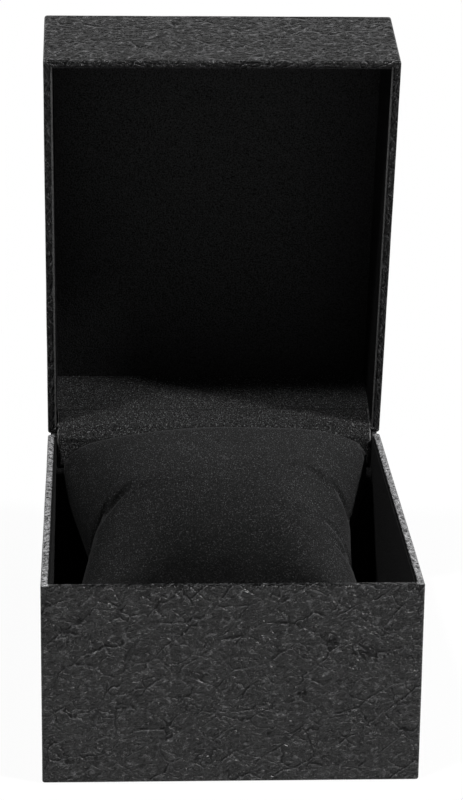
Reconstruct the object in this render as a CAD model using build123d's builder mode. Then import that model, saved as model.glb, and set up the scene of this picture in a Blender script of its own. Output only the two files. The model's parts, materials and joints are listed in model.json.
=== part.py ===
"""A cardboard watch box: a covered base tray, a hinged lid tray that stands open, and a stuffed cushion.

Millimetres, +Z up. The origin is the centre of the underside, and the lid is modelled open.
X runs to the right, the hinge lies along X at the back, at +Y.
"""

from build123d import *
from math import cos, pi
import os

os.makedirs("parts", exist_ok=True)

# Outside of the box
box_width = 82.0
box_depth = 100.0
base_height = 46.0
lid_height = 26.0
open_angle = 76.8
rim_gap = 0.2

# Sheets and boards, by thickness
board = 1.2
cover = 0.2
stay = 0.1
lining = 0.4
strip = 0.4
underside = 0.2

# Covering paper
corner_radius = 0.7
rim_radius = 0.4
turn_in = 12.0
flap = 12.0
underside_inset = 2.0
stay_leg = 8.0

# Lining and hinge strip
lining_step = 0.5
strip_on_base = 8.0
strip_on_lid = 8.0
strip_end = 0.3
strip_side_gap = 0.2

# Cushion: its seam runs round a pouch that leans from the back rim down towards the front
pillow_width = 75.0
pillow_waist = 59.4
pillow_back_gap = 2.4
pillow_front_gap = 5.0
pillow_back_seam = 42.0
pillow_front_seam = 21.0
pillow_crown = 22.2
pillow_belly = 28.6
pillow_seam = 1.6
pillow_cloth = 0.8
pillow_fill_gap = 0.2
pillow_seat_gap = 0.3
pillow_sections = 9
pillow_swell = 2.6
pillow_round = 0.56
pillow_draw = 1.6
flat_at_seam = 0.64
flat_in_middle = 0.15
cover_facets = 4
fill_facets = 3

# What follows from them
rim = cover + stay + board + cover
board_width = box_width - 2 * (cover + stay)
board_depth = box_depth - 2 * (cover + stay)
inner_width = box_width - 2 * rim
inner_depth = box_depth - 2 * rim
strip_width = inner_width - 2 * (lining + strip_side_gap)
strip_offset = inner_depth / 2 - lining - strip / 2

hinge = Vector(0, box_depth / 2, base_height + rim_gap / 2)
base_seat = Plane.XY.offset(underside)
lid_arm = Vector(0, -box_depth / 2, rim_gap / 2 + lid_height).rotate(Axis.X, -open_angle)
lid_seat = Plane(
    origin=hinge + lid_arm,
    x_dir=(1, 0, 0),
    z_dir=Vector(0, 0, -1).rotate(Axis.X, -open_angle),
)


def save(piece, name):
    """Labels a finished piece and writes it under its node's name."""
    piece.part.label = name
    export_step(piece.part, f"parts/{name}.step")


def slab(plane, width, depth, thickness, x=0.0, y=0.0):
    """A flat rectangular sheet or board that stands on a plane, centred at x, y of that plane."""
    with BuildPart() as piece:
        with BuildSketch(plane):
            with Locations((x, y)):
                Rectangle(width, depth)
        extrude(amount=thickness)
    return piece


def end_wall(plane, height, side):
    """The front or back board: it spans the width, and its two outer upright edges are rounded."""
    with BuildPart() as piece:
        with BuildSketch(plane) as outline:
            with Locations((0, side * (board_depth - board) / 2)):
                Rectangle(board_width, board)
            outer = outline.vertices().group_by(Axis.Y)[-1 if side > 0 else 0]
            fillet(outer, corner_radius - cover - stay)
        extrude(amount=height)
    return piece


def boards(name, closed_end, seat, height, front):
    """The five greyboard panels of a tray. The closed end lies between the four walls."""
    foot = seat.offset(cover)
    wall = height - 2 * cover
    save(slab(foot, board_width - 2 * board, board_depth - 2 * board, board), f"{name}_{closed_end}_board")
    save(end_wall(foot, wall, front), f"{name}_front_board")
    save(end_wall(foot, wall, -front), f"{name}_back_board")
    for side, x in (("left", -1), ("right", 1)):
        panel = slab(foot, board, board_depth - 2 * board, wall, x * (board_width - board) / 2)
        save(panel, f"{name}_{side}_board")


def corner_stays(name, seat, height):
    """Four paper angles, one round the outside of each upright corner of the boards."""
    with BuildPart() as stays:
        with BuildSketch(seat.offset(cover)):
            RectangleRounded(board_width + 2 * stay, board_depth + 2 * stay, corner_radius - cover)
            RectangleRounded(board_width, board_depth, corner_radius - cover - stay, mode=Mode.SUBTRACT)
            Rectangle(box_width, board_depth - 2 * stay_leg, mode=Mode.SUBTRACT)
            Rectangle(board_width - 2 * stay_leg, box_depth, mode=Mode.SUBTRACT)
        extrude(amount=height - 2 * cover)
    save(stays, f"{name}_corner_stays")


def covering(name, seat, height, open_end):
    """The leatherette paper of a tray: outside skins, rounded rims, and the part turned in over them.

    At the closed end it covers the whole panel, or only a flap all round where open_end is true.
    """
    up = Axis(seat.origin, seat.z_dir)
    with BuildPart() as paper:
        with BuildSketch(seat):
            RectangleRounded(box_width, box_depth, corner_radius)
        extrude(amount=height)
        fillet(paper.faces().sort_by(up)[0].edges(), rim_radius)
        fillet(paper.faces().sort_by(up)[-1].edges(), rim_radius)
        with BuildSketch(seat.offset(height)):
            Rectangle(inner_width, inner_depth)
        extrude(amount=-turn_in, mode=Mode.SUBTRACT)
        fillet(paper.faces().sort_by(up)[-1].inner_wires()[0].edges(), rim_radius)
        with BuildSketch(seat.offset(height - turn_in)):
            RectangleRounded(box_width - 2 * cover, box_depth - 2 * cover, corner_radius - cover)
            Rectangle(inner_width + 2 * cover, inner_depth + 2 * cover, mode=Mode.SUBTRACT)
        extrude(amount=turn_in - cover, mode=Mode.SUBTRACT)
        with BuildSketch(seat.offset(cover)):
            RectangleRounded(box_width - 2 * cover, box_depth - 2 * cover, corner_radius - cover)
        extrude(amount=height - turn_in - cover, mode=Mode.SUBTRACT)
        if open_end:
            with BuildSketch(seat):
                Rectangle(box_width - 2 * flap, box_depth - 2 * flap)
            extrude(amount=cover, mode=Mode.SUBTRACT)
    save(paper, f"{name}_cover")


def linings(name, closed_end, seat, height, front):
    """The flocked sheets inside a tray: one on the closed end, then one on each wall, short of the rim."""
    floor = seat.offset(cover + board)
    foot = floor.offset(lining)
    wall = height - cover - board - lining - lining_step
    save(slab(floor, inner_width, inner_depth, lining), f"{name}_{closed_end}_lining")
    for end, y in (("front", front), ("back", -front)):
        sheet = slab(foot, inner_width - 2 * lining, lining, wall, 0, y * (inner_depth - lining) / 2)
        save(sheet, f"{name}_{end}_lining")
    for side, x in (("left", -1), ("right", 1)):
        sheet = slab(foot, lining, inner_depth, wall, x * (inner_width - lining) / 2)
        save(sheet, f"{name}_{side}_lining")


def tray(name, closed_end, seat, height, front, open_end):
    """A whole tray. seat is its closed end, facing the rim; front is the sign of y at its front wall."""
    boards(name, closed_end, seat, height, front)
    corner_stays(name, seat, height)
    covering(name, seat, height, open_end)
    linings(name, closed_end, seat, height, front)


# The two trays: in the base the front wall is at -y, and in the lid, which is turned over, at +y
base_tray = base_height - underside
tray("base", "floor", base_seat, base_tray, -1, True)
tray("lid", "top", lid_seat, lid_height, 1, False)

# The sheet pasted over the turned-in flaps, on which the box stands
underside_sheet = slab(
    Plane.XY, box_width - 2 * underside_inset, box_depth - 2 * underside_inset, underside
)
save(underside_sheet, "underside_sheet")

# The flocked hinge strip: a leaf glued on each back wall, and the free fold drawn taut between them
base_leaf = slab(
    base_seat.offset(base_tray - strip_on_base), strip_width, strip, strip_on_base - strip_end, 0, strip_offset
)
save(base_leaf, "hinge_strip_base_leaf")
lid_leaf = slab(
    lid_seat.offset(lid_height - strip_on_lid), strip_width, strip, strip_on_lid - strip_end, 0, -strip_offset
)
save(lid_leaf, "hinge_strip_lid_leaf")


def leaf_end(seat, height, front):
    """The inner and outer corner of a leaf's end beside the fold, in the plane x = 0."""
    inner = -front * (strip_offset - strip / 2)
    outer = -front * (strip_offset + strip / 2)
    return [seat.from_local_coords((0, y, height - strip_end)) for y in (inner, outer)]


base_inner, base_outer = leaf_end(base_seat, base_tray, -1)
lid_inner, lid_outer = leaf_end(lid_seat, lid_height, 1)
with BuildPart() as fold:
    with BuildSketch(Plane.YZ):
        with BuildLine():
            Polyline(
                *[(p.Y, p.Z) for p in (base_inner, base_outer, lid_outer, lid_inner)], close=True
            )
        make_face()
    extrude(amount=strip_width / 2, both=True)
save(fold, "hinge_strip_fold")

# The cushion's seat on the floor lining, and the two ends of its leaning pouch
pillow_seat = underside + cover + board + lining + pillow_seat_gap
back_seam = Vector(0, inner_depth / 2 - lining - pillow_back_gap, pillow_back_seam)
front_seam = Vector(0, -(inner_depth / 2 - lining - pillow_front_gap), pillow_front_seam)
lean = front_seam - back_seam


def section(half, flat, crown, belly, facets):
    """Draws a closed outline with a flat top and bottom and four shoulders of so many straight facets.

    A shoulder follows the arc that leaves the flat level and ends at the seam.
    """
    for side in (-1, 1):
        for height in (crown, -belly):
            arc = TangentArc((side * flat, height), (side * half, 0), tangent=(side, 0), mode=Mode.PRIVATE)
            Polyline(*[arc @ (k / facets) for k in range(facets + 1)])
    Line((-flat, crown), (flat, crown))
    Line((-flat, -belly), (flat, -belly))


def pouch(inset, seat, facets):
    """The cushion's stuffed form, drawn in by inset all round and cut flat where it sits.

    Its cross-sections, square to the leaning pouch, have a flat top and bottom and four round
    shoulders. Their width is least and their bulge greatest in the middle; at both seams they are
    wide and thin, as ears. They stand closest together near the seams, where the form turns fastest.
    """
    run = lean.length - 2 * inset
    with BuildPart() as form:
        for step in range(pillow_sections):
            from_middle = cos(pi * step / (pillow_sections - 1))
            share = (1 - from_middle) / 2
            middle = 1 - abs(from_middle) ** pillow_swell
            bulge = middle**pillow_round
            drawn_in = 1 - abs(from_middle) ** pillow_draw
            half = pillow_width / 2 - (pillow_width - pillow_waist) / 2 * drawn_in - inset
            crown = pillow_seam / 2 + (pillow_crown - pillow_seam / 2 - inset) * bulge
            belly = pillow_seam / 2 + (pillow_belly - pillow_seam / 2 - inset) * bulge
            flat = half * (flat_at_seam + (flat_in_middle - flat_at_seam) * middle)
            start = back_seam + lean.normalized() * (inset + run * share)
            with BuildSketch(Plane(origin=start, x_dir=(1, 0, 0), z_dir=lean)):
                with BuildLine():
                    section(half, flat, crown, belly, facets)
                make_face()
        loft(ruled=True)
        split(bisect_by=Plane.XY.offset(seat), keep=Keep.TOP)
    return form


pillow_outside = pouch(0, pillow_seat, cover_facets)
pillow_inside = pouch(pillow_cloth, pillow_seat + pillow_cloth, fill_facets)
with BuildPart() as pillow_cover:
    add(pillow_outside.part)
    add(pillow_inside.part, mode=Mode.SUBTRACT)
save(pillow_cover, "pillow_cover")
fill_inset = pillow_cloth + pillow_fill_gap
pillow_filling = pouch(fill_inset, pillow_seat + fill_inset, fill_facets)
save(pillow_filling, "pillow_filling")
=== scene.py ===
"""The looks of a cardboard watch box: embossed paper outside, flocked sheets inside, a velvet cushion.

Metres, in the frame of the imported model: +Z up, the hinge along X at the back, the lid open.
Every surface is worked out with numpy in millimetres and written into its mesh in metres.
"""

import json
import math

import bpy
import numpy as np
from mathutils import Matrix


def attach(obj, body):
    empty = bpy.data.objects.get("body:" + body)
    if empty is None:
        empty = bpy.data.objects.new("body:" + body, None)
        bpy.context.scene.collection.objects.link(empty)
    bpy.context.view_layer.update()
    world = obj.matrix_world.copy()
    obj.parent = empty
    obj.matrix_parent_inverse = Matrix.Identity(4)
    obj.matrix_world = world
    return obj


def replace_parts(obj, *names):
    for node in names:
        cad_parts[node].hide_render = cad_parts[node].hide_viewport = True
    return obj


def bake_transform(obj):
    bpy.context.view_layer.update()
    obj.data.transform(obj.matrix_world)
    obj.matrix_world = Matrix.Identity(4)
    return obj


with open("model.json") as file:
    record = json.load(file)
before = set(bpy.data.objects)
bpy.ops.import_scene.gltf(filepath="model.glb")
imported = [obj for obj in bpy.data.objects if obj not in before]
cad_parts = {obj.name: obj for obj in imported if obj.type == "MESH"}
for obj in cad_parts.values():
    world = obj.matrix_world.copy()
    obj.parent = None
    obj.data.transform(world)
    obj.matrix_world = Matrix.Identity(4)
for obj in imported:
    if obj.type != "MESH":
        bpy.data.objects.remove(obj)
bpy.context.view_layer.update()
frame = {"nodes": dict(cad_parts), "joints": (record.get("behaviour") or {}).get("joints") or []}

bl_info = {
    "name": "Cardboard watch box",
    "version": (1, 0, 0),
    "blender": (4, 5, 0),
    "location": "3D View > Sidebar > Watch box",
    "description": "Dresses the pieces of a paper-covered watch box with a lift-out cushion",
    "category": "Object",
}

MM = 0.001


# The frame's own sizes, in millimetres

def node_points(*names):
    """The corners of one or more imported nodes, as one array."""
    clouds = []
    for name in names:
        vertices = frame["nodes"][name].data.vertices
        cloud = np.empty(len(vertices) * 3)
        vertices.foreach_get("co", cloud)
        clouds.append(cloud.reshape(-1, 3) / MM)
    return np.vstack(clouds)


hinge = next(joint for joint in frame["joints"] if joint["name"] == "lid_hinge")
hinge_line = np.array(hinge["pos_m"]) / MM
open_angle = math.radians(-hinge["range_deg"][0])


def turned(points, angle):
    """Points turned about the hinge line, by which a positive angle opens the lid.

    y' = y cos + z sin and z' = z cos - y sin, both counted from the hinge.
    """
    arm = points - hinge_line
    y = arm[..., 1] * math.cos(angle) + arm[..., 2] * math.sin(angle)
    z = arm[..., 2] * math.cos(angle) - arm[..., 1] * math.sin(angle)
    return np.stack([arm[..., 0], y, z], axis=-1) + hinge_line


def shut_box(name):
    """The lowest and highest corner of a node of the lid, with the lid turned shut."""
    points = turned(node_points(name), -open_angle)
    return points.min(0), points.max(0)


def base_box(name):
    """The lowest and highest corner of a node of the base."""
    points = node_points(name)
    return points.min(0), points.max(0)


base_low, base_high = base_box("base_cover")
lid_low, lid_high = shut_box("lid_cover")
lining_low, lining_high = base_box("base_left_lining")
strip_low, strip_high = base_box("hinge_strip_base_leaf")
lid_strip_low, lid_strip_high = shut_box("hinge_strip_lid_leaf")
pillow_low, pillow_high = base_box("pillow_cover")

HALF_WIDTH = base_high[0]
HALF_DEPTH = base_high[1]
RIM = HALF_WIDTH + lining_low[0]


# Values that a maker would change

class PaperLook(bpy.types.PropertyGroup):
    """The embossed covering paper."""

    colour: bpy.props.FloatVectorProperty(
        name="Paper colour", description="Colour of the covering paper",
        subtype="COLOR", size=3, min=0, max=1, default=(0.0045, 0.0045, 0.0046))
    thickness: bpy.props.FloatProperty(
        name="Thickness", description="Thickness of the covering paper, in millimetres",
        default=0.2, min=0.1, max=0.4)
    edge_radius: bpy.props.FloatProperty(
        name="Edge radius", description="Rounding of the rims and long edges, in millimetres",
        default=0.4, min=0.2, max=0.6)
    corner_radius: bpy.props.FloatProperty(
        name="Corner radius", description="Rounding of the upright corners, in millimetres",
        default=0.7, min=0.4, max=2)
    turn_in: bpy.props.FloatProperty(
        name="Turn-in", description="Paper turned in over the rims and under the base, in millimetres",
        default=12, min=4, max=20)
    ripple: bpy.props.FloatProperty(
        name="Ripple", description="Unevenness of the glued paper, in millimetres",
        default=0.07, min=0, max=0.1)
    crease_depth: bpy.props.FloatProperty(
        name="Crease depth", description="Depth of the embossed creases, in millimetres",
        default=0.5, min=0, max=1)
    crease_length: bpy.props.FloatProperty(
        name="Crease length", description="Typical length of a long crease, in millimetres",
        default=13, min=4, max=40)


class FlockLook(bpy.types.PropertyGroup):
    """The flocked sheets and the hinge strip."""

    colour: bpy.props.FloatVectorProperty(
        name="Flock colour", description="Colour of the short flock pile",
        subtype="COLOR", size=3, min=0, max=1, default=(0.0095, 0.0095, 0.0096))
    edge_colour: bpy.props.FloatVectorProperty(
        name="Cut edge colour", description="Colour of the sheet's cut edge",
        subtype="COLOR", size=3, min=0, max=1, default=(0.09, 0.09, 0.09))
    fibre: bpy.props.FloatProperty(
        name="Fibre size", description="Size of a tuft of the pile, in millimetres",
        default=0.35, min=0.1, max=1)


class PillowLook(bpy.types.PropertyGroup):
    """The stuffed cushion."""

    colour: bpy.props.FloatVectorProperty(
        name="Velvet colour", description="Colour of the velvet pile",
        subtype="COLOR", size=3, min=0, max=1, default=(0.0078, 0.0078, 0.0079))
    slack: bpy.props.FloatProperty(
        name="Slack",
        description="Share by which the cushion's two panels are larger than the space they start in",
        subtype="FACTOR", default=0.2, min=0, max=0.5)
    shift: bpy.props.FloatProperty(
        name="Shift", description="How far it lies off the middle, to the right, in millimetres",
        default=-3.2, min=-5, max=5)
    back_seam: bpy.props.FloatProperty(
        name="Back seam", description="Height of the back seam before it is stuffed, in millimetres",
        default=43.5, min=20, max=50)
    front_seam: bpy.props.FloatProperty(
        name="Front seam", description="Height of the front seam before it is stuffed, in millimetres",
        default=13, min=4, max=30)
    seam_rise: bpy.props.FloatProperty(
        name="Seam rise", description="How far the back seam's middle starts above its ends, in millimetres",
        default=2, min=0, max=10)
    grid: bpy.props.FloatProperty(
        name="Cloth grid", description="Spacing of the cloth's threads in the simulation, in millimetres",
        default=1.5, min=0.8, max=4)
    pressure: bpy.props.FloatProperty(
        name="Stuffing pressure", description="Pressure that fills the pouch in the simulation",
        default=60, min=0, max=2000)
    compression: bpy.props.FloatProperty(
        name="Compression", description="Resistance of the cloth to being pushed together",
        default=12, min=0, max=200)
    bending: bpy.props.FloatProperty(
        name="Bending", description="Resistance of the cloth to folds",
        default=0.05, min=0, max=10)
    frames: bpy.props.IntProperty(
        name="Frames", description="Steps of the simulation", default=24, min=1, max=120)
    fill: bpy.props.FloatProperty(
        name="Fill", description="How full the cushion is stuffed",
        subtype="FACTOR", default=0.75, min=0, max=1)


class StageLook(bpy.types.PropertyGroup):
    """The floor, lamps and camera."""

    floor_colour: bpy.props.FloatVectorProperty(
        name="Floor colour", description="Colour of the floor",
        subtype="COLOR", size=3, min=0, max=1, default=(0.65, 0.65, 0.65))
    right_power: bpy.props.FloatProperty(
        name="Right lamp", description="Power of the large lamp overhead on the right",
        subtype="POWER", default=15, min=0, max=100)
    left_power: bpy.props.FloatProperty(
        name="Left lamp", description="Power of the small lamp overhead on the left",
        subtype="POWER", default=9, min=0, max=100)
    fill_strength: bpy.props.FloatProperty(
        name="Fill strength", description="Strength of the surrounding light",
        default=0.2, min=0, max=1)
    camera_place: bpy.props.FloatVectorProperty(
        name="Camera place", description="Where the camera stands, in metres",
        subtype="TRANSLATION", size=3, default=(-0.02858, -0.58750, 0.26326))
    camera_pitch: bpy.props.FloatProperty(
        name="Camera pitch", description="How far the camera looks down",
        subtype="ANGLE", default=math.radians(18.0902))
    camera_turn: bpy.props.FloatProperty(
        name="Camera turn", description="How far the camera is turned to the right",
        subtype="ANGLE", default=math.radians(2.9408))
    camera_roll: bpy.props.FloatProperty(
        name="Camera roll", description="How far the camera is tipped about its own axis",
        subtype="ANGLE", default=math.radians(-0.7539))
    focal_length: bpy.props.FloatProperty(
        name="Focal length", description="Focal length on a 36 mm long side, in millimetres",
        default=122.8, min=20, max=300)


# Shapes as numpy arrays

def filleted(corners, radii, spacing, steps=5, hold=0.15):
    """A profile through corners in millimetres, with square corners rounded and straights divided.

    An arc point is corner + r (-a + a sin t + b (1 - cos t)) for t from 0 to a quarter turn, where a
    is the direction into the corner and b out of it. Each straight also has a point close to its ends,
    so that shading stays flat up to the arcs.
    """
    corners = np.asarray(corners, float)
    ahead = np.roll(corners, -1, axis=0) - corners
    length = np.linalg.norm(ahead, axis=1)
    out = ahead / length[:, None]
    into = np.roll(out, 1, axis=0)
    turn = np.linspace(0, math.pi / 2, steps + 1)[:, None]
    pieces = []
    for i, radius in enumerate(radii):
        if radius:
            arc = corners[i] + radius * (into[i] * (np.sin(turn) - 1) + out[i] * (1 - np.cos(turn)))
        else:
            arc = corners[i][None]
        following = radii[(i + 1) % len(radii)]
        start, run = arc[-1], length[i] - radius - following
        count = max(1, round((run - 2 * hold) / spacing))
        inner = np.linspace(hold, run - hold, count + 1) if run > 3 * hold else np.array([run / 2])
        pieces += [arc, start + out[i] * inner[:, None]]
    return np.vstack(pieces)


def wrap(half_x, half_y, spacing, steps=6, hold=0.15):
    """One turn round a rounded rectangle, anticlockwise from its back left corner.

    Returns cx, cy, nx and ny: with a corner radius r the turn's points are
    ((half_x - r) cx + r nx, (half_y - r) cy + r ny).
    """
    signs = np.array([(-1, 1), (-1, -1), (1, -1), (1, 1)], float)
    rows = []
    for i, start in enumerate((90, 180, 270, 360)):
        turn = np.radians(start + np.linspace(0, 90, steps + 1))
        arc = np.column_stack([np.tile(signs[i], (steps + 1, 1)), np.cos(turn), np.sin(turn)])
        side = 2 * (half_y if i % 2 == 0 else half_x)
        near = hold / side
        count = max(1, round(side / spacing))
        share = np.linspace(near, 1 - near, count + 1)[:, None]
        along = signs[i] + (signs[(i + 1) % 4] - signs[i]) * share
        straight = np.column_stack([along, np.tile(arc[-1, 2:], (count + 1, 1))])
        rows += [arc, straight]
    return np.vstack(rows).T


def carried(profile, turn, corner_radius, least=0.06):
    """A profile of (inset, height) points carried along a wrap, as an array of rows of points.

    Each row is the wrap drawn in by the row's inset, with its corner radius less by the inset.
    """
    cx, cy, nx, ny = turn
    inset = profile[:, :1]
    radius = np.maximum(corner_radius - inset, least)
    x = (HALF_WIDTH - inset - radius) * cx + radius * nx
    y = (HALF_DEPTH - inset - radius) * cy + radius * ny
    return np.stack([x, y, np.broadcast_to(profile[:, 1:], x.shape)], axis=-1)


def lengths(points, closed=False):
    """How far along a line each point lies. A closed line's last value is its whole length."""
    if closed:
        points = np.vstack([points, points[:1]])
    return np.concatenate([[0], np.cumsum(np.linalg.norm(np.diff(points, axis=0), axis=1))])


def waves(u, v, seed, shortest, longest, count=14):
    """Smooth unevenness from about -1 to 1: a sum of sines of random directions, lengths and phases."""
    draw = np.random.default_rng(seed)
    angle = draw.uniform(0, math.tau, count)
    number = math.tau / draw.uniform(shortest, longest, count)
    phase = draw.uniform(0, math.tau, count)
    total = np.zeros(np.broadcast(u, v).shape)
    for a, k, p in zip(angle, number, phase):
        total += np.sin(k * (u * math.cos(a) + v * math.sin(a)) + p)
    return total / math.sqrt(count * 2)


def cells(grid):
    """The four corners of every cell of a grid, anticlockwise where columns run right and rows up."""
    return np.stack([grid[:-1, :-1], grid[:-1, 1:], grid[1:, 1:], grid[1:, :-1]], axis=2)


def write_mesh(name, points, faces, sheet=None, flat=False):
    """Puts points in millimetres and faces into a new object, with the sheet's coordinates as its UV map."""
    mesh = bpy.data.meshes.new(name)
    mesh.from_pydata(points.reshape(-1, 3) * MM, [], faces)
    if sheet is not None:
        layer = mesh.uv_layers.new(name="sheet")
        layer.data.foreach_set("uv", np.ascontiguousarray(sheet, np.float32).ravel())
    mesh.polygons.foreach_set("use_smooth", np.full(len(mesh.polygons), not flat))
    mesh.update()
    piece = bpy.data.objects.new(name, mesh)
    bpy.context.scene.collection.objects.link(piece)
    return piece


def give(piece, material):
    """Gives a piece one material, in its slot if it has one already."""
    if piece.material_slots:
        for slot in piece.material_slots:
            slot.material = material
    else:
        piece.data.materials.append(material)


# Materials

def put(tree, kind, inputs=None, **settings):
    """Adds a shader node, sets its properties, and fills or links its inputs by name or number."""
    node = tree.nodes.new("ShaderNode" + kind)
    for key, value in settings.items():
        setattr(node, key, value)
    for key, value in (inputs or {}).items():
        if isinstance(value, bpy.types.NodeSocket):
            tree.links.new(value, node.inputs[key])
        else:
            node.inputs[key].default_value = value
    return node


def maths(tree, operation, *values):
    """One step of arithmetic, as the node's output."""
    return put(tree, "Math", dict(enumerate(values)), operation=operation).outputs[0]


def band(tree, value, low, high, start=0.0, end=1.0):
    """A value taken smoothly from start at low to end at high."""
    inputs = {"Value": value, "From Min": low, "From Max": high, "To Min": start, "To Max": end}
    return put(tree, "MapRange", inputs, interpolation_type="SMOOTHSTEP").outputs["Result"]


def mixed(tree, share, first, second):
    """A colour between two colours."""
    node = put(tree, "Mix", data_type="RGBA")
    for socket, value in ((node.inputs[0], share), (node.inputs[6], first), (node.inputs[7], second)):
        if isinstance(value, bpy.types.NodeSocket):
            tree.links.new(value, socket)
        else:
            socket.default_value = value
    return node.outputs[2]


def grey(colour, factor=1.0):
    """A colour times a factor, as a socket's four numbers."""
    return (*(min(1.0, channel * factor) for channel in colour), 1.0)


def new_material(name):
    """An empty material with a principled shader. Returns the material, its tree and the shader."""
    material = bpy.data.materials.new(name)
    material.use_nodes = True
    tree = material.node_tree
    tree.nodes.clear()
    shader = put(tree, "BsdfPrincipled")
    put(tree, "OutputMaterial", {"Surface": shader.outputs[0]})
    return material, tree, shader


def noise(tree, place, scale, detail=2.0, rough=0.5, output=0):
    """Blender's noise at a place in millimetres, with its scale per millimetre."""
    inputs = {"Vector": place, "Scale": scale, "Detail": detail, "Roughness": rough}
    return put(tree, "TexNoise", inputs).outputs[output]


def pushed(tree, place, scale, reach, detail=1.0):
    """A place moved about by noise, by up to reach millimetres."""
    colour = noise(tree, place, scale, detail, output=1)
    centred = put(tree, "VectorMath", {0: colour, 1: (0.5, 0.5, 0.5)}, operation="SUBTRACT").outputs[0]
    scaled = put(tree, "VectorMath", {0: centred, "Scale": 2 * reach}, operation="SCALE").outputs[0]
    return put(tree, "VectorMath", {0: place, 1: scaled}, operation="ADD").outputs[0]


def crack(tree, place, angle, length, width, line):
    """Lines between cells of length by width, turned by an angle: 1 on a line and 0 away from it."""
    inputs = {"Vector": place, "Rotation": (0, 0, angle), "Scale": (length, width, 1)}
    laid = put(tree, "Mapping", inputs, vector_type="TEXTURE").outputs[0]
    cell = put(tree, "TexVoronoi", {"Vector": laid, "Scale": 1.0}, feature="DISTANCE_TO_EDGE")
    return band(tree, cell.outputs["Distance"], 0.0, line, 1.0, 0.0)


def object_place(tree):
    """Object coordinates in millimetres."""
    coordinates = put(tree, "TexCoord").outputs["Object"]
    return put(tree, "VectorMath", {0: coordinates, "Scale": 1 / MM}, operation="SCALE").outputs[0]


def wrinkle(tree, place, angle, length, width, line):
    """Wandering lines where a stretched noise passes its middle, 1 on a line and 0 away from it."""
    inputs = {"Vector": place, "Rotation": (0, 0, angle), "Scale": (length, width, 1)}
    laid = put(tree, "Mapping", inputs, vector_type="TEXTURE").outputs[0]
    level = maths(tree, "ABSOLUTE", maths(tree, "SUBTRACT", noise(tree, laid, 1.0, 2.0, 0.55), 0.5))
    return band(tree, level, 0.0, line, 1.0, 0.0)


def hide_lines(tree, place, length, line):
    """The long creases of hide, which rise and fall across each other, 1 on a line and 0 away from it."""
    rising = crack(tree, place, math.radians(34), length, length * 0.4, line)
    falling = crack(tree, place, math.radians(-28), length * 1.2, length * 0.45, line * 0.8)
    return maths(tree, "MAXIMUM", rising, maths(tree, "MULTIPLY", falling, 0.8))


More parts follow.
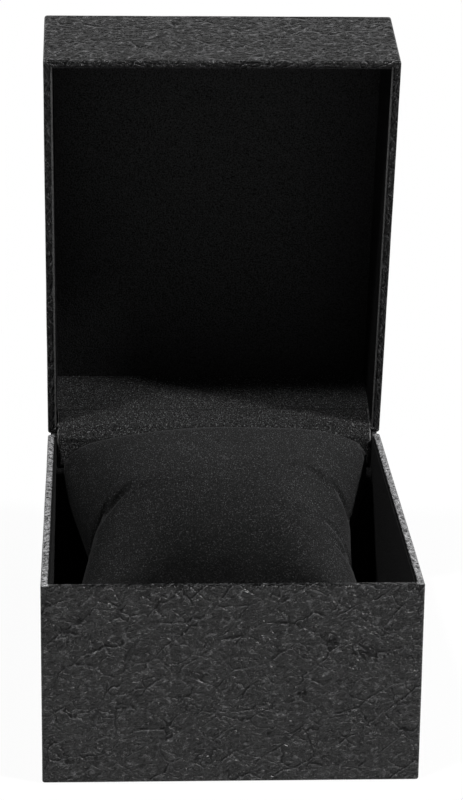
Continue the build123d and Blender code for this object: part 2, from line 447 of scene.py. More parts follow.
def leatherette(look):
    """Black paper embossed like hide: long creases, ridges beside them, short wrinkles, strokes and a grain.

    Creases are painted darker, a painted shade. Ridges and strokes are painted paler, most where the paper
    faces up, as painted highlights of the light from above, and the paper has less specular where it faces
    up. The base's side rims are painted near white in spots, as painted glints, and have more specular.
    """
    material, tree, shader = new_material("leatherette_paper")
    sheet = put(tree, "UVMap", uv_map="sheet").outputs[0]
    place = put(tree, "VectorMath", {0: sheet, "Scale": 1 / MM}, operation="SCALE").outputs[0]
    wander = pushed(tree, pushed(tree, place, 0.1, 1.4), 0.6, 0.25, 2.0)
    beside = put(tree, "VectorMath", {0: wander, 1: (0.0, 0.45, 0.0)}, operation="ADD").outputs[0]
    worn = band(tree, noise(tree, place, 0.2, 2.0), 0.4, 0.6, 0.3, 1.0)
    creases = maths(tree, "MULTIPLY", hide_lines(tree, wander, look.crease_length, 0.07), worn)
    ridges = maths(tree, "MULTIPLY", hide_lines(tree, beside, look.crease_length, 0.028), worn)
    short = wrinkle(tree, wander, math.radians(6), 2.6, 1.0, 0.04)
    deep = maths(tree, "MAXIMUM", creases, maths(tree, "MULTIPLY", short, 0.6))
    wide = {"Vector": wander, "Scale": (2.0, 1.0, 1.0)}
    stretched = put(tree, "Mapping", wide, vector_type="TEXTURE").outputs[0]
    grain = noise(tree, stretched, 1.25, 2.5, 0.55)
    strokes = wrinkle(tree, beside, math.radians(30), 3.2, 0.8, 0.07)
    strokes = maths(tree, "MULTIPLY", strokes, band(tree, noise(tree, place, 0.6, 2.0), 0.48, 0.62))
    height = maths(tree, "SUBTRACT", maths(tree, "MULTIPLY", grain, 2.0), maths(tree, "MULTIPLY", deep, 0.6))
    height = maths(tree, "ADD", height, maths(tree, "MULTIPLY", strokes, 0.25))
    bump = put(tree, "Bump", {"Height": height, "Strength": 1.0, "Distance": look.crease_depth * MM})
    upward = put(tree, "SeparateXYZ", {0: put(tree, "TexCoord").outputs["Normal"]}).outputs[2]
    # Painted highlight: ridges and strokes are painted paler, most where the paper faces up to the light from
    # above.
    up_highlight = band(tree, upward, 0.6, 0.95, 0.5, 1.0)
    raised = maths(tree, "MAXIMUM", ridges, maths(tree, "MULTIPLY", strokes, 0.9))
    pale = maths(tree, "MULTIPLY", raised, up_highlight)
    colour = mixed(tree, pale, grey(look.colour, 0.5), grey(look.colour, 24))
    # Painted shade: the creases and short wrinkles are painted darker than the paper.
    colour = mixed(tree, maths(tree, "MULTIPLY", deep, 0.85), colour, grey(look.colour, 0.2))
    spot = put(tree, "SeparateXYZ", {0: object_place(tree)}).outputs
    side = band(tree, maths(tree, "ABSOLUTE", spot[0]), HALF_WIDTH - RIM - 0.2, HALF_WIDTH - RIM)
    on_base = maths(tree, "LESS_THAN", spot[2], base_high[2] + 1)
    side_rim = maths(tree, "MULTIPLY", maths(tree, "MULTIPLY", band(tree, upward, 0.6, 0.98), side), on_base)
    # Painted glints: spots of the base's side rims, where they face up, are painted near white.
    rim_glint = maths(tree, "MULTIPLY", side_rim, band(tree, noise(tree, place, 0.9, 3.0, 0.7), 0.4, 0.62))
    colour = mixed(tree, rim_glint, colour, grey(look.colour, 60))
    tree.links.new(colour, shader.inputs["Base Color"])
    tree.links.new(band(tree, grain, 0.3, 0.7, 0.24, 0.34), shader.inputs["Roughness"])
    shine = band(tree, deep, 0.0, 1.0, 0.27, 0.1)
    shine = maths(tree, "MULTIPLY", shine, band(tree, upward, -0.2, -0.05, 0.5, 1.0))
    shine = maths(tree, "MULTIPLY", shine, band(tree, upward, 0.6, 0.95, 1.0, 0.35))
    shine = maths(tree, "ADD", shine, maths(tree, "MULTIPLY", side_rim, 0.7))
    tree.links.new(shine, shader.inputs["Specular IOR Level"])
    tree.links.new(bump.outputs[0], shader.inputs["Normal"])
    return material


def fibre_glint(tree, place, size, seed_shift):
    """Painted glints of stray fibres: 1 on about one tuft in ten and 0 elsewhere."""
    moved = put(tree, "VectorMath", {0: place, 1: (seed_shift, 0, 0)}, operation="ADD").outputs[0]
    return band(tree, noise(tree, moved, 1 / size, 1.0, 0.6), 0.62, 0.74)


def flock(name, look, edge_direction, factor=1.0, edge_factor=1.0, sparkle=8.0):
    """Black flock: a matt pile with painted glints of stray fibres, and a paler cut edge along
    edge_direction.
    """
    material, tree, shader = new_material(name)
    place = object_place(tree)
    fibres = noise(tree, place, 1 / look.fibre, 2.0, 0.7)
    glints = maths(tree, "MAXIMUM", fibre_glint(tree, place, look.fibre * 0.6, 40.0),
                   fibre_glint(tree, place, look.fibre, 90.0))
    dark, light = grey(look.colour, 0.2 * factor), grey(look.colour, 1.3 * factor)
    pile = mixed(tree, band(tree, fibres, 0.3, 0.7), dark, light)
    # Painted glints: stray fibres are painted bright, by the sparkle factor.
    pile = mixed(tree, glints, pile, grey(look.colour, sparkle * factor))
    if edge_direction is not None:
        normal = put(tree, "TexCoord").outputs["Normal"]
        facing = put(tree, "VectorMath", {0: normal, 1: edge_direction}, operation="DOT_PRODUCT")
        on_edge = maths(tree, "GREATER_THAN", facing.outputs["Value"], 0.9)
        share = maths(tree, "MULTIPLY", on_edge, band(tree, fibres, 0.3, 0.6, 0.5, 1.0))
        pile = mixed(tree, share, pile, grey(look.edge_colour, edge_factor))
    tree.links.new(pile, shader.inputs["Base Color"])
    shader.inputs["Roughness"].default_value = 1.0
    shader.inputs["Specular IOR Level"].default_value = 0.0
    bump = put(tree, "Bump", {"Height": fibres, "Strength": 0.8, "Distance": 0.35 * MM})
    tree.links.new(bump.outputs[0], shader.inputs["Normal"])
    return material


def velvet(look):
    """Black velvet: a soft pile whose lay drifts over the cushion, painted lighter where it is seen at a
    slant as a painted sheen, with a painted highlight along its outline and painted glints of fibre tips.
    """
    material, tree, shader = new_material("cushion_velvet")
    place = object_place(tree)
    fibres = noise(tree, place, 3.0, 2.0, 0.75)
    glints = maths(tree, "MAXIMUM", fibre_glint(tree, place, 0.22, 17.0), fibre_glint(tree, place, 0.34, 51.0))
    lay = noise(tree, pushed(tree, place, 0.1, 5.0), 0.07, 3.0)
    # Painted sheen: the pile is painted lighter where it is seen at a slant.
    slant = put(tree, "LayerWeight", {"Blend": 0.5}).outputs["Facing"]
    bright = maths(tree, "ADD", band(tree, slant, 0.1, 0.75), band(tree, lay, 0.3, 0.7, -0.06, 0.06))
    ground = mixed(tree, bright, grey(look.colour, 0.25), grey(look.colour, 1.15))
    tips = mixed(tree, bright, grey(look.colour, 0.7), grey(look.colour, 2.2))
    pile = mixed(tree, band(tree, fibres, 0.3, 0.7, 0.0, 0.6), ground, tips)
    # Painted highlight: a thin line along the cushion's outline is painted pale.
    pile = mixed(tree, band(tree, slant, 0.8, 0.97), pile, grey(look.colour, 3.5))
    # Painted glints of fibre tips, lighter where the sheen is painted.
    stray = mixed(tree, bright, grey(look.colour, 2), grey(look.colour, 11))
    tree.links.new(mixed(tree, glints, pile, stray), shader.inputs["Base Color"])
    shader.inputs["Roughness"].default_value = 1.0
    shader.inputs["Specular IOR Level"].default_value = 0.0
    bump = put(tree, "Bump", {"Height": fibres, "Strength": 0.7, "Distance": 0.3 * MM})
    tree.links.new(bump.outputs[0], shader.inputs["Normal"])
    return material


def pulp(name, colour, fibre, contrast, rough):
    """Board or paper of pressed fibres: flecks stretched along the sheet over a cloudy ground."""
    material, tree, shader = new_material(name)
    place = object_place(tree)
    cloud = noise(tree, place, 0.15, 3.0)
    stretched = put(tree, "Mapping", {"Vector": place, "Scale": (1.0, 0.35, 0.6)}).outputs[0]
    flecks = noise(tree, stretched, 1 / fibre, 4.0, 0.7)
    ground = mixed(tree, band(tree, cloud, 0.3, 0.7), grey(colour, 1 - contrast), grey(colour, 1 + contrast))
    dark = band(tree, flecks, 0.58, 0.75, 0.0, 0.6)
    tree.links.new(mixed(tree, dark, ground, grey(colour, 0.45)), shader.inputs["Base Color"])
    shader.inputs["Roughness"].default_value = rough
    shader.inputs["Specular IOR Level"].default_value = 0.3
    bump = put(tree, "Bump", {"Height": flecks, "Strength": 0.4, "Distance": 0.06 * MM})
    tree.links.new(bump.outputs[0], shader.inputs["Normal"])
    return material


# Pieces

def covered_tray(profile, look, turn, pole_heights=None, seed=1):
    """A tray's covering paper: a (inset, height) profile carried round it.

    With no pole heights the profile is closed and the paper is a ring with a flap underneath. With
    them, the profile's two ends close over the panel, in rows drawn in towards an inner and outer pole.
    """
    rows = carried(profile, turn, look.corner_radius)
    outline = carried(np.array([[0.0, 0.0]]), turn, look.corner_radius)[0]
    u, v = lengths(outline, closed=True), lengths(profile, closed=pole_heights is None)
    uneven = 0.5 - 0.5 * waves(u[:-1], v[:len(profile), None], seed, 14, 60)
    outer = np.clip(1 - profile[:, :1] / look.edge_radius, 0, 1)
    nx, ny = turn[2:]
    rows[..., 0] -= look.ripple * np.clip(uneven, 0, 1) * outer * nx
    rows[..., 1] -= look.ripple * np.clip(uneven, 0, 1) * outer * ny
    shares = np.array([0.97, 0.85, 0.7, 0.55, 0.4, 0.25, 0.1])[:, None, None]
    if pole_heights:
        centre = np.array([0.0, 0.0, 1.0])
        inner = rows[0] * (shares[::-1] * (1 - centre) + centre)
        closing = rows[-1] * (shares * (1 - centre) + centre)
        rows = np.concatenate([inner, rows, closing])
        v = np.concatenate([np.full(len(shares), v[0]), v, np.full(len(shares), v[-1])])
    count, columns = rows.shape[:2]
    number = np.arange(count * columns).reshape(count, columns)
    number = np.pad(number, ((0, 0 if pole_heights else 1), (0, 1)), mode="wrap")
    faces = cells(number).reshape(-1, 4).tolist()
    unrolled = np.stack(np.broadcast_arrays(u, v[:, None]), axis=-1)
    if pole_heights:
        plane = np.pad(rows[..., :2], ((0, 0), (0, 1), (0, 0)), mode="wrap")
        level = np.zeros(count, bool)
        level[:len(shares) + 1] = level[-len(shares) - 1:] = True
        both = level[:-1] & level[1:]
        sheet = np.where(both[:, None, None, None], cells(plane), cells(unrolled)).reshape(-1, 2)
        poles = np.array([[0, 0, height] for height in pole_heights], float)
        last = count * columns
        first_row, last_row = number[0], number[-1]
        fan = [[last, b, a] for a, b in zip(first_row[:-1].tolist(), first_row[1:].tolist())]
        fan += [[last + 1, a, b] for a, b in zip(last_row[:-1].tolist(), last_row[1:].tolist())]
        inner_fan = np.stack([np.zeros_like(plane[0, :-1]), plane[0, 1:], plane[0, :-1]], axis=1)
        outer_fan = np.stack([np.zeros_like(plane[0, :-1]), plane[-1, :-1], plane[-1, 1:]], axis=1)
        sheet = np.vstack([sheet, inner_fan.reshape(-1, 2), outer_fan.reshape(-1, 2)])
        rows = np.vstack([rows.reshape(-1, 3), poles])
        faces += fan
    else:
        sheet = cells(unrolled).reshape(-1, 2)
        rows = rows.reshape(-1, 3)
    return rows, faces, sheet * MM


def paper_profiles(look):
    """The base's closed profile and the lid's open one, as (inset, height) points, with their rounding."""
    t, r, rim = look.thickness, look.edge_radius, RIM
    foot, top = base_low[2], base_high[2]
    turned_in = top - look.turn_in
    base = [(look.turn_in, foot), (0, foot), (0, top), (rim, top), (rim, turned_in), (rim - t, turned_in),
            (rim - t, top - t), (t, top - t), (t, foot + t), (look.turn_in, foot + t)]
    base_radii = [0, r, r, r, 0, 0, 0.1, 0.1, 0.1, 0]
    lid_rim, lid_top = lid_low[2], lid_high[2]
    turned_in = lid_rim + look.turn_in
    lid = [(2.0, lid_top - t), (t, lid_top - t), (t, lid_rim + t), (rim - t, lid_rim + t),
           (rim - t, turned_in), (rim, turned_in), (rim, lid_rim), (0, lid_rim), (0, lid_top), (2.0, lid_top)]
    lid_radii = [0, 0.1, 0.1, 0.1, 0, 0, r, r, r, 0]
    return (base, base_radii), (lid, lid_radii)


class WATCHBOX_OT_cover_papers(bpy.types.Operator):
    """Makes the embossed covering papers of the base and the lid"""

    bl_idname = "watchbox.cover_papers"
    bl_label = "Cover papers"

    def execute(self, context):
        look = context.scene.watchbox_paper
        material = leatherette(look)
        (base, base_radii), (lid, lid_radii) = paper_profiles(look)
        turn = wrap(HALF_WIDTH, HALF_DEPTH, 2.0)
        profile = filleted(base, base_radii, 2.0)
        points, faces, sheet = covered_tray(profile, look, turn, seed=3)
        paper = write_mesh("base_cover_paper", points, faces, sheet)
        give(paper, material)
        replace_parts(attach(paper, "base"), "base_cover")
        profile = filleted(lid, lid_radii, 2.0)
        last = int(np.argmin(np.linalg.norm(profile - np.array(lid[-1]), axis=1)))
        poles = (lid_high[2] - look.thickness, lid_high[2])
        points, faces, sheet = covered_tray(profile[:last + 1], look, turn, poles, seed=5)
        paper = write_mesh("lid_cover_paper", turned(points, open_angle), faces, sheet + 0.47)
        give(paper, material)
        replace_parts(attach(paper, "lid"), "lid_cover")
        return {"FINISHED"}


def band_sheet(path, thickness, half_width, columns, wear=0.0, seed=1, taper=0.2, sink=0.0):
    """A thin strip along X that follows a path in the YZ plane, as points, faces and sheet coordinates.

    Its closed section goes up the path on one side and back on the other, at half the thickness
    along the path's normal, and its two ends are closed. Over the taper at both ends it grows thin,
    and sink moves it there towards one face. wear moves the ends' edges in and out.
    """
    step = np.gradient(path, axis=0)
    step /= np.linalg.norm(step, axis=1)[:, None]
    normal = np.column_stack([-step[:, 1], step[:, 0]])
    along = lengths(path)
    slim = np.clip(np.minimum(along, along[-1] - along) / taper, 0.03, 1)[:, None] ** 0.5
    middle = path + normal * sink * thickness / 2 * (1 - slim)
    half_sheet = normal * slim * thickness / 2
    section = np.vstack([middle + half_sheet, (middle - half_sheet)[::-1]])
    v = np.concatenate([along, along[::-1]])
    x = np.linspace(-1, 1, columns)
    edge = half_width - wear * (0.5 + 0.5 * waves(v[:, None], np.zeros(1), seed, 1.2, 5))
    rows = np.empty((len(section), columns, 3))
    rows[..., 0] = x * edge
    rows[..., 1:] = section[:, None]
    number = np.arange(rows.shape[0] * columns).reshape(-1, columns)
    closed = np.vstack([number, number[:1]])
    body = cells(closed)
    half = len(path)
    left, right = number[:, 0], number[:, -1]
    near = np.stack([left[:half - 1], left[1:half], left[::-1][1:half], left[::-1][:half - 1]], axis=1)
    far = np.stack([right[:half - 1], right[::-1][:half - 1], right[::-1][1:half], right[1:half]], axis=1)
    faces = np.vstack([body.reshape(-1, 4), near, far])
    uv = np.stack(np.broadcast_arrays(rows[..., 0], v[:, None]), axis=-1)
    flat = uv.reshape(-1, 2)
    around = cells(np.vstack([uv, uv[:1]])).reshape(-1, 2)
    return rows, faces, np.vstack([around, flat[near].reshape(-1, 2), flat[far].reshape(-1, 2)]) * MM


def outward(points, faces):
    """Whether the faces of a closed mesh of quads point outwards, by the sign of its volume."""
    corner = points.reshape(-1, 3)[faces]
    first, second, third, fourth = (corner[:, i] for i in range(4))
    volume = np.einsum("ij,ij->i", first, np.cross(second, third)).sum()
    volume += np.einsum("ij,ij->i", first, np.cross(third, fourth)).sum()
    return volume > 0


def soft_turn(before, corner, after, radius, steps):
    """A path in the YZ plane from before to after that turns at the corner on a parabola of the given reach.

    Its points are (1-t)^2 p + 2 t (1-t) corner + t^2 q, where p and q lie the reach away from the corner.
    """
    into = (corner - before) / np.linalg.norm(corner - before)
    out = (after - corner) / np.linalg.norm(after - corner)
    p, q = corner - into * radius, corner + out * radius
    t = np.linspace(0, 1, steps)[:, None]
    bend = (1 - t) ** 2 * p + 2 * t * (1 - t) * corner + t**2 * q
    return np.vstack([before + (p - before) * np.linspace(0, 1, 9)[:-1, None], bend,
                      q + (after - q) * np.linspace(0, 1, 9)[1:, None]])


def shut_to_open(y, z):
    """A point of the lid, given with the lid shut, in the YZ plane with the lid open."""
    return turned(np.array([0.0, y, z]), open_angle)[1:]


class WATCHBOX_OT_cover_fold(bpy.types.Operator):
    """Makes the paper fold that carries the cover across the back of the hinge"""

    bl_idname = "watchbox.cover_fold"
    bl_label = "Cover fold"

    def execute(self, context):
        look = context.scene.watchbox_paper
        reach, depth = 1.4, look.thickness
        back = HALF_DEPTH - depth / 2 + 0.02
        below = np.array([back, base_high[2] - reach])
        above = shut_to_open(back, lid_low[2] + reach)
        corner = np.array([hinge_line[1] - 0.05, hinge_line[2]])
        path = soft_turn(below, corner, above, 0.7, 9)
        rows, faces, sheet = band_sheet(path, depth, HALF_WIDTH - look.corner_radius, 61)
        if not outward(rows, faces):
            faces = faces[:, ::-1]
            sheet = sheet.reshape(-1, 4, 2)[:, ::-1].reshape(-1, 2)
        fold = write_mesh("cover_fold_paper", rows, faces.tolist(), sheet)
        give(fold, bpy.data.materials["leatherette_paper"])
        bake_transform(fold)
        return {"FINISHED"}


class WATCHBOX_OT_linings(bpy.types.Operator):
    """Gives the flocked sheets inside the base and the lid their pile and their pale cut edges, in copies
    painted lighter or darker for the light that falls on each place
    """

    bl_idname = "watchbox.linings"
    bl_label = "Linings"

    def execute(self, context):
        look = context.scene.watchbox_flock
        lid_edge = turned(hinge_line + np.array([0, 0, -1.0]), open_angle) - hinge_line
        # One flock in copies painted lighter or darker, with more or fewer painted glints, for the light each
        # place gets. The base's cut edges are made nearly black.
        base_flock = flock("base_flock", look, (0, 0, 1), 2.2, 0.06, sparkle=2.0)
        lid_flock = flock("lid_flock", look, tuple(lid_edge), 0.8, sparkle=3.0)
        ledge_flock = flock("ledge_flock", look, tuple(lid_edge), 1.4)
        plate_flock = flock("plate_flock", look, None, 1.7, sparkle=1.3)
        shade_copies = {"lid_back_lining": ledge_flock, "lid_top_lining": plate_flock,
                    "lid_front_lining": base_flock}
        for name, node in frame["nodes"].items():
            if name.endswith("_lining"):
                give(node, shade_copies.get(name, lid_flock if name.startswith("lid") else base_flock))
        return {"FINISHED"}


class WATCHBOX_OT_hinge_strip(bpy.types.Operator):
    """Makes the flocked hinge strip: one sheet glued inside both back walls, with its fold drawn taut"""

    bl_idname = "watchbox.hinge_strip"
    bl_label = "Hinge strip"

    def execute(self, context):
        look = context.scene.watchbox_flock
        middle = (strip_low[1] + strip_high[1]) / 2
        thickness = strip_high[1] - strip_low[1]
        below = np.array([middle, strip_low[2]])
        top = np.array([middle, strip_high[2]])
        lid_start = shut_to_open(middle, lid_strip_low[2])
        above = shut_to_open(middle, lid_strip_high[2])
        corner_low, corner_high = top, lid_start
        first = soft_turn(below, corner_low, (corner_low + corner_high) / 2, 0.35, 7)
        second = soft_turn((corner_low + corner_high) / 2, corner_high, above, 0.35, 7)
        path = np.vstack([first, second[1:]])
        rows, faces, sheet = band_sheet(path, thickness, strip_high[0], 81,
                                        wear=0.35, seed=8, taper=2.5, sink=-1.0)
        if not outward(rows, faces):
            faces = faces[:, ::-1]
            sheet = sheet.reshape(-1, 4, 2)[:, ::-1].reshape(-1, 2)
        strip = write_mesh("hinge_strip", rows, faces.tolist(), sheet)
        give(strip, strip_flock(look, strip_high[0]))
        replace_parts(strip, "hinge_strip_base_leaf", "hinge_strip_fold", "hinge_strip_lid_leaf")
        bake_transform(strip)
        return {"FINISHED"}


def strip_flock(look, half_width):
    """The flock of the hinge strip, with a pale fraying edge at both ends."""
    material = flock("strip_flock", look, None, 1.4)
    tree = material.node_tree
    shader = next(node for node in tree.nodes if node.type == "BSDF_PRINCIPLED")
    pile = shader.inputs["Base Color"].links[0].from_socket
    place = object_place(tree)
    x = put(tree, "SeparateXYZ", {0: place}).outputs[0]
    fringe = maths(tree, "MULTIPLY", noise(tree, place, 1.5), 0.35)
    frayed = maths(tree, "ADD", maths(tree, "ABSOLUTE", x), fringe)
    share = band(tree, frayed, half_width - 0.25, half_width - 0.05)
    tree.links.new(mixed(tree, share, pile, grey(look.edge_colour, 1.3)), shader.inputs["Base Color"])
    return material


class WATCHBOX_OT_boards(bpy.types.Operator):
    """Gives the greyboard panels, the corner stays and the underside sheet their fibres"""

    bl_idname = "watchbox.boards"
    bl_label = "Boards and papers"

    def execute(self, context):
        board = pulp("greyboard", (0.30, 0.28, 0.25), 0.6, 0.18, 0.9)
        stay = pulp("stay_paper", (0.55, 0.48, 0.38), 0.4, 0.08, 0.8)
        sheet = pulp("underside_paper", (0.022, 0.022, 0.023), 0.5, 0.2, 0.75)
        for name, node in frame["nodes"].items():
            if name.endswith("_board"):
                give(node, board)
            if name.endswith("_stays"):
                give(node, stay)
            if name == "underside_sheet":
                give(node, sheet)
        return {"FINISHED"}


def pouch(columns, rows, width, run, crown, belly, waist):
    """Two panels joined all round, as a grid of rows from the back seam to the front one.

    Turn a in 0..1 goes once round: across = w(s) (2 |1 - 2a| - 1), and up = h(s) (1 - (across/w)^2)^0.5
    on the crown's side or the belly's. Over the run s in 0..1 the half width w is drawn in by the waist
    and the height h is greatest in the middle.
    """
    s = np.linspace(0, 1, rows)[:, None]
    bulge = (1 - np.abs(1 - 2 * s) ** 2.6) ** 0.56
    a = np.arange(columns) / columns
    share = 2 * np.abs(1 - 2 * a) - 1
    half = (width - waist * (1 - np.abs(1 - 2 * s) ** 1.6)) / 2
    up = np.where(a < 0.5, crown * bulge + 0.15, -belly * bulge - 0.15) * np.sqrt(1 - share**2)
    across = half * share
    return np.stack([across, np.broadcast_to(run * s, across.shape), up], axis=-1)


def capped(rows, columns):
    """Faces of a grid that is closed round its columns, with each end slit closed by a row of quads."""
    number = np.arange(rows * columns).reshape(rows, columns)
    wrapped = np.pad(number, ((0, 0), (0, 1)), mode="wrap")
    body = cells(wrapped).reshape(-1, 4)
    half = columns // 2
    k = np.arange(half - 1) + 1
    first = np.stack([number[0, k - 1], number[0, k], number[0, -k], number[0, (1 - k) % columns]], axis=1)
    last = np.stack([number[-1, k], number[-1, k - 1], number[-1, (1 - k) % columns], number[-1, -k]], axis=1)
    tip = [[number[0, half - 1], number[0, half], number[0, half + 1]],
           [number[-1, half + 1], number[-1, half], number[-1, half - 1]]]
    quads = np.vstack([body, first[1:], last[1:]])
    start = [[number[0, 0], number[0, 1], number[0, -1]], [number[-1, -1], number[-1, 1], number[-1, 0]]]
    return quads, start + tip


SIMULATION_SCALE = 10.0


def block(low, high):
    """A closed box between two corners, as points and outward faces, for the cloth to press against."""
    corners = np.array([[x, y, z] for z in (0, 1) for y in (0, 1) for x in (0, 1)], float)
    faces = [[0, 2, 3, 1], [4, 5, 7, 6], [0, 1, 5, 4], [2, 6, 7, 3], [0, 4, 6, 2], [1, 3, 7, 5]]
    return np.array(low) + corners * (np.array(high) - np.array(low)), faces


def pillow_blocks():
    """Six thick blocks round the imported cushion's own space, which hold the cloth in."""
    low, high = pillow_low - 0.1, pillow_high + 0.1
    far, thick = 90.0, 30.0
    sides = []
    for axis in range(3):
        for start, end in ((low[axis] - thick, low[axis]), (high[axis], high[axis] + thick)):
            near, away = np.full(3, -far), np.full(3, far)
            near[axis], away[axis] = start, end
            sides.append(block(near, away))
    return sides


def stuffed(points, faces, look):
    """The pouch's points after cloth simulation.

    Pressure fills it, and its panels grow by the slack, while blocks hold it in. It runs at ten times
    the size, at which the cloth's own thresholds suit a small cushion.
    """
    scene = bpy.context.scene
    scale = SIMULATION_SCALE
    cloth = write_mesh("cushion_cloth", points * scale, faces)
    walls = []
    for number, (corners, sides) in enumerate(pillow_blocks()):
        wall = write_mesh(f"tray_block_{number}", corners * scale, sides, flat=True)
        wall.modifiers.new("Collision", "COLLISION")
        wall.collision.thickness_outer = 0.002
        wall.collision.cloth_friction = 3.0
        walls.append(wall)
    modifier = cloth.modifiers.new("Cloth", "CLOTH")
    settings, touching = modifier.settings, modifier.collision_settings
    settings.quality = 8
    settings.mass = 0.01
    settings.tension_stiffness = 25
    settings.compression_stiffness = look.compression
    settings.shear_stiffness = 6
    settings.bending_stiffness = look.bending
    settings.tension_damping = settings.compression_damping = settings.shear_damping = 5
    settings.air_damping = 2
    settings.shrink_min = -look.slack
    settings.use_pressure = True
    settings.uniform_pressure_force = look.pressure
    settings.effector_weights.gravity = 0.2
    touching.distance_min = 0.004
    touching.use_self_collision = False
    modifier.point_cache.frame_start, modifier.point_cache.frame_end = 1, look.frames
    for number in range(1, look.frames + 1):
        scene.frame_set(number)
    shape = cloth.evaluated_get(bpy.context.evaluated_depsgraph_get()).data
    result = np.empty(len(shape.vertices) * 3)
    shape.vertices.foreach_get("co", result)
    scene.frame_set(1)
    for piece in (cloth, *walls):
        mesh = piece.data
        bpy.data.objects.remove(piece)
        bpy.data.meshes.remove(mesh)
    return result.reshape(-1, 3) / MM / scale


class WATCHBOX_OT_cushion(bpy.types.Operator):
    """Makes the stuffed velvet cushion that leans in the base"""

    bl_idname = "watchbox.cushion"
    bl_label = "Cushion"

    def execute(self, context):
        look = context.scene.watchbox_pillow
        back = np.array([0.0, pillow_high[1] - 0.6, look.back_seam])
        front = np.array([0.0, pillow_low[1] + 0.4, look.front_seam])
        run = np.linalg.norm(front - back)
        lean = (front - back) / run
        normal = np.array([0.0, -lean[2], lean[1]])
        normal *= np.sign(normal[2])
        width = 2 * pillow_high[0] - 0.4
        rows, columns = round(run / look.grid) + 1, 2 * round(width / look.grid)
        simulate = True
        crown, belly, waist = (1.0, 1.0, 0.0) if simulate else (21.5, 27.0, 15.0)
        laid = pouch(columns, rows, width, run, crown, belly, waist)
        points = back + laid[..., :1] * np.array([1.0, 0, 0]) + laid[..., 1:2] * lean + laid[..., 2:] * normal
        quads, ends = capped(rows, columns)
        if not outward(points, quads):
            quads = quads[:, ::-1]
            ends = [face[::-1] for face in ends]
        faces = quads.tolist() + [[int(i) for i in face] for face in ends]
        points = points.reshape(-1, 3)
        if simulate:
            along = (points[:, 1] - front[1]) / (back[1] - front[1])
            points[:, 2] += look.seam_rise * np.clip(along, 0, 1) ** 2 * (1 - (2 * points[:, 0] / width) ** 2)
            points[:, 2] += 0.6 * waves(points[:, 0], points[:, 1], 4, 12, 40)
            points[:, 0] += look.shift * (1 - along)
            points = stuffed(points, faces, look)
        points[..., 2] = np.maximum(points[..., 2], pillow_low[2])
        cushion = write_mesh("cushion", points, faces)
        give(cushion, velvet(look))
        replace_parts(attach(cushion, "pillow"), "pillow_cover", "pillow_filling")
        return {"FINISHED"}


def lamp(name, place, target, size, power):
    """A square area lamp that faces a target."""
    data = bpy.data.lights.new(name, "AREA")
    data.shape, data.size, data.energy = "SQUARE", size, power
    piece = bpy.data.objects.new(name, data)
    bpy.context.scene.collection.objects.link(piece)
    away = np.array(place, float) - np.array(target, float)
    away /= np.linalg.norm(away)
    side = np.cross([0.0, 0.0, 1.0], away)
    if np.linalg.norm(side) < 1e-6:
        side = np.array([1.0, 0.0, 0.0])
    side /= np.linalg.norm(side)
    up = np.cross(away, side)
    matrix = np.eye(4)
    matrix[:3, 0], matrix[:3, 1], matrix[:3, 2], matrix[:3, 3] = side, up, away, place
    piece.matrix_world = matrix.T
    return piece


def backdrop_world(strength):
    """A world that is white to the camera and in reflections low behind the object, else a soft light."""
    world = bpy.data.worlds.new("studio")
    world.use_nodes = True
    tree = world.node_tree
    tree.nodes.clear()
    path = put(tree, "LightPath").outputs
    direction = put(tree, "SeparateXYZ", {0: put(tree, "TexCoord").outputs["Generated"]}).outputs
    low_down = band(tree, direction[2], 0.38, 0.5, 1.0, 0.0)
    behind = maths(tree, "MULTIPLY", band(tree, direction[1], 0.0, 0.4), low_down)
    reflected = maths(tree, "MULTIPLY", path["Is Glossy Ray"], behind)
    white = maths(tree, "MAXIMUM", path["Is Camera Ray"], reflected)
    level = put(tree, "MapRange", {"Value": white, "To Min": strength, "To Max": 1.0}).outputs["Result"]
    background = put(tree, "Background", {"Color": (1, 1, 1, 1), "Strength": level})
    put(tree, "OutputWorld", {"Surface": background.outputs[0]})
    bpy.context.scene.world = world


def floor_material(colour):
    """A pale matt floor that keeps the object's shadow and turns into the white surroundings further off."""
    material = bpy.data.materials.new("floor")
    material.use_nodes = True
    tree = material.node_tree
    tree.nodes.clear()
    place = put(tree, "TexCoord").outputs["Object"]
    distance = put(tree, "VectorMath", {0: place}, operation="LENGTH").outputs["Value"]
    seen = put(tree, "LightPath").outputs["Is Camera Ray"]
    far = maths(tree, "MULTIPLY", seen, band(tree, distance, 0.06, 0.3, 0.93, 1.0))
    speckle = noise(tree, place, 900.0)
    tone = mixed(tree, band(tree, speckle, 0.3, 0.7), grey(colour, 0.98), grey(colour, 1.02))
    matt = put(tree, "BsdfDiffuse", {"Color": tone})
    white = put(tree, "Emission", {"Color": (1, 1, 1, 1), "Strength": 1.0})
    mix = put(tree, "MixShader", {0: far, 1: matt.outputs[0], 2: white.outputs[0]})
    put(tree, "OutputMaterial", {"Surface": mix.outputs[0]})
    return material


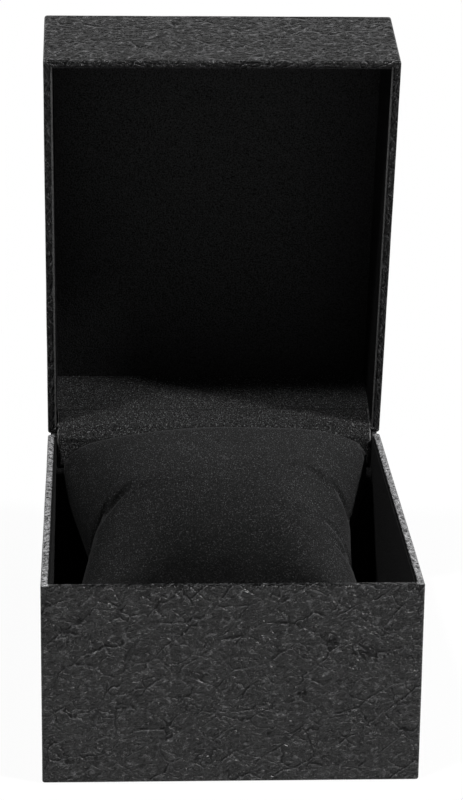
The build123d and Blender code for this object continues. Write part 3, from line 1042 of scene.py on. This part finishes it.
class WATCHBOX_OT_stage(bpy.types.Operator):
    """Sets up the floor, the surroundings, the lamps and the camera"""

    bl_idname = "watchbox.stage"
    bl_label = "Stage"

    def execute(self, context):
        look = context.scene.watchbox_stage
        radius = np.array([0.0, 150, 400, 1000, 2500, 6000])[1:]
        angle = np.linspace(0, math.tau, 96, endpoint=False)
        rings = np.stack([radius[:, None] * np.cos(angle), radius[:, None] * np.sin(angle),
                          np.zeros((len(radius), len(angle)))], axis=-1)
        number = np.pad(np.arange(rings.shape[0] * 96).reshape(-1, 96), ((0, 0), (0, 1)), mode="wrap")
        faces = cells(number).reshape(-1, 4)[:, ::-1].tolist() + [list(range(96))]
        floor = write_mesh("floor", rings, faces)
        give(floor, floor_material(look.floor_colour))
        backdrop_world(look.fill_strength)
        target = (0.0, 0.0, 0.06)
        lamp("right_lamp", (0.663, -0.346, 0.797), target, 0.08, look.right_power)
        lamp("left_lamp", (-0.30, -0.321, 0.99), target, 0.07, look.left_power)
        camera_data = bpy.data.cameras.new("camera")
        camera_data.lens, camera_data.sensor_width = look.focal_length, 36.0
        camera = bpy.data.objects.new("camera", camera_data)
        context.scene.collection.objects.link(camera)
        pitch, turn, roll = look.camera_pitch, look.camera_turn, look.camera_roll
        level = math.cos(pitch)
        ahead = np.array([math.sin(turn) * level, math.cos(turn) * level, -math.sin(pitch)])
        right = np.array([math.cos(turn), -math.sin(turn), 0.0])
        down = np.cross(ahead, right)
        tipped_right = math.cos(roll) * right + math.sin(roll) * down
        tipped_down = math.cos(roll) * down - math.sin(roll) * right
        matrix = np.eye(4)
        matrix[:3, 0], matrix[:3, 1], matrix[:3, 2] = tipped_right, -tipped_down, -ahead
        matrix[:3, 3] = look.camera_place
        camera.matrix_world = matrix.T
        context.scene.camera = camera
        context.scene.view_settings.view_transform = "Standard"
        return {"FINISHED"}


OPERATORS = (
    WATCHBOX_OT_cover_papers,
    WATCHBOX_OT_cover_fold,
    WATCHBOX_OT_linings,
    WATCHBOX_OT_hinge_strip,
    WATCHBOX_OT_boards,
    WATCHBOX_OT_cushion,
    WATCHBOX_OT_stage,
)


class WATCHBOX_PT_pieces(bpy.types.Panel):
    """Lists the pieces and the values that shape them"""

    bl_idname = "WATCHBOX_PT_pieces"
    bl_label = "Watch box"
    bl_space_type = "VIEW_3D"
    bl_region_type = "UI"
    bl_category = "Watch box"

    def draw(self, context):
        for name in GROUPS:
            look = getattr(context.scene, name)
            column = self.layout.column(align=True)
            for key in type(look).__annotations__:
                column.prop(look, key)
        for operator in OPERATORS:
            self.layout.operator(operator.bl_idname)


GROUPS = {
    "watchbox_paper": PaperLook,
    "watchbox_flock": FlockLook,
    "watchbox_pillow": PillowLook,
    "watchbox_stage": StageLook,
}


def register():
    """Registers the classes and hangs the property groups on the scene."""
    for cls in (*GROUPS.values(), *OPERATORS, WATCHBOX_PT_pieces):
        bpy.utils.register_class(cls)
    for name, group in GROUPS.items():
        setattr(bpy.types.Scene, name, bpy.props.PointerProperty(type=group))


def unregister():
    """Takes away what register added."""
    for name in GROUPS:
        delattr(bpy.types.Scene, name)
    for cls in reversed((*GROUPS.values(), *OPERATORS, WATCHBOX_PT_pieces)):
        bpy.utils.unregister_class(cls)


def main():
    """Registers the classes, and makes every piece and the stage."""
    register()
    bpy.ops.watchbox.cover_papers()
    bpy.ops.watchbox.cover_fold()
    bpy.ops.watchbox.linings()
    bpy.ops.watchbox.hinge_strip()
    bpy.ops.watchbox.boards()
    bpy.ops.watchbox.cushion()
    bpy.ops.watchbox.stage()


if __name__ == "__main__":
    main()
